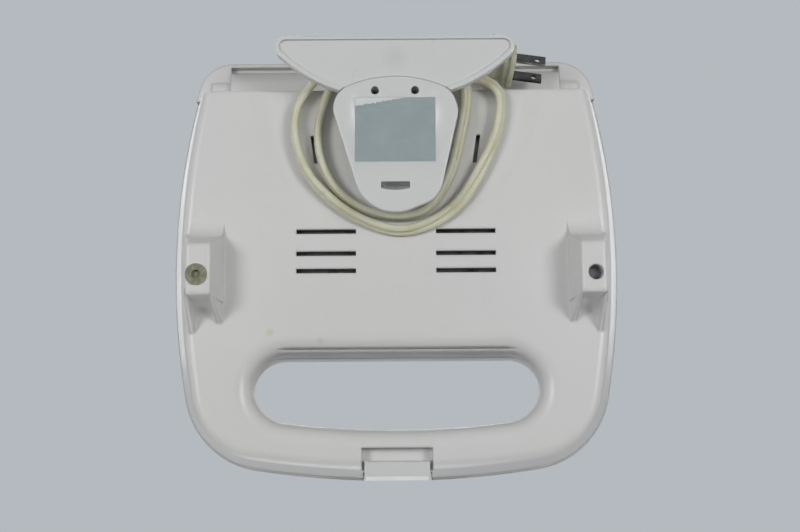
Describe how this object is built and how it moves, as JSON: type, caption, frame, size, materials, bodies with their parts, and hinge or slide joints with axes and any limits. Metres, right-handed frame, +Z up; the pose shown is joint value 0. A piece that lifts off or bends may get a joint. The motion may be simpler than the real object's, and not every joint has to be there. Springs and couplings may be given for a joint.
{
  "type": "panini press",
  "caption": "Hinged sandwich press with ridged plates, a hand opening, a front latch, a cord wrap with a half-moon stand under the base, and a flat lead with a bladed plug.",
  "frame": {"origin": "centre of the closed press seen from above, on the surface that it stands on", "axes": "+Z up, +Y towards the hinge and the cord, -Y towards the hand opening and the latch, +X to the user's right-hand side when they face the rear"},
  "size_m": [0.2514, 0.239, 0.0948],
  "materials": {
    "housing_plastic": "white moulded plastic, satin",
    "wrap_plastic": "cool white moulded plastic, satin",
    "plate_coating": "dark non-stick coating on cast aluminium",
    "pan_metal": "bright aluminised sheet",
    "heater_steel": "heat-tinted steel tube",
    "steel": "plated steel",
    "blade_metal": "nickel-plated brass, dull",
    "foot_rubber": "aged olive rubber",
    "cord_vinyl": "aged cream vinyl, soft sheen",
    "plug_vinyl": "aged cream moulded vinyl",
    "sticker_foil": "matt silver foil, wrinkled",
    "sensor_metal": "bright pressed metal",
    "block_plastic": "pale ceramic-like plastic",
    "red_lens": "clear red plastic",
    "green_lens": "clear green plastic",
    "lamp_glass": "small neon lamp"
  },
  "bodies": {
    "base": {"base_housing": "housing_plastic", "lower_frame": "housing_plastic", "lower_plate": "plate_coating", "lower_reflector": "pan_metal", "lower_heater": "heater_steel", "lower_plate_screws": "steel", "cord_hub": "wrap_plastic", "cord_cover": "wrap_plastic", "rear_stand": "wrap_plastic", "hinge_pin_left": "steel", "hinge_pin_right": "steel", "rubber_foot": "foot_rubber", "housing_screws": "steel", "cover_screws": "steel", "foil_sticker": "sticker_foil", "thermostat": "sensor_metal", "thermal_fuse": "sensor_metal", "terminal_block": "block_plastic", "strain_relief": "plug_vinyl", "power_cord": "cord_vinyl", "plug_body": "plug_vinyl", "plug_blades": "blade_metal"},
    "lid": {"lid_housing": "housing_plastic", "upper_frame": "housing_plastic", "upper_plate": "plate_coating", "upper_reflector": "pan_metal", "upper_heater": "heater_steel", "upper_plate_screws": "steel", "latch_pin": "steel", "power_lens": "red_lens", "ready_lens": "green_lens", "pilot_lamps": "lamp_glass"},
    "latch": {"latch_clip": "wrap_plastic"}
  },
  "joints": [
    {"name": "lid_hinge", "type": "hinge", "parent": "base", "child": "lid", "pos_m": [0, 0.1041, 0.054], "axis": [-1, 0, 0], "range_deg": [0, 100]},
    {"name": "latch_pivot", "type": "hinge", "parent": "lid", "child": "latch", "pos_m": [0, -0.1132, 0.077], "axis": [-1, 0, 0], "range_deg": [0, 28]}
  ]
}
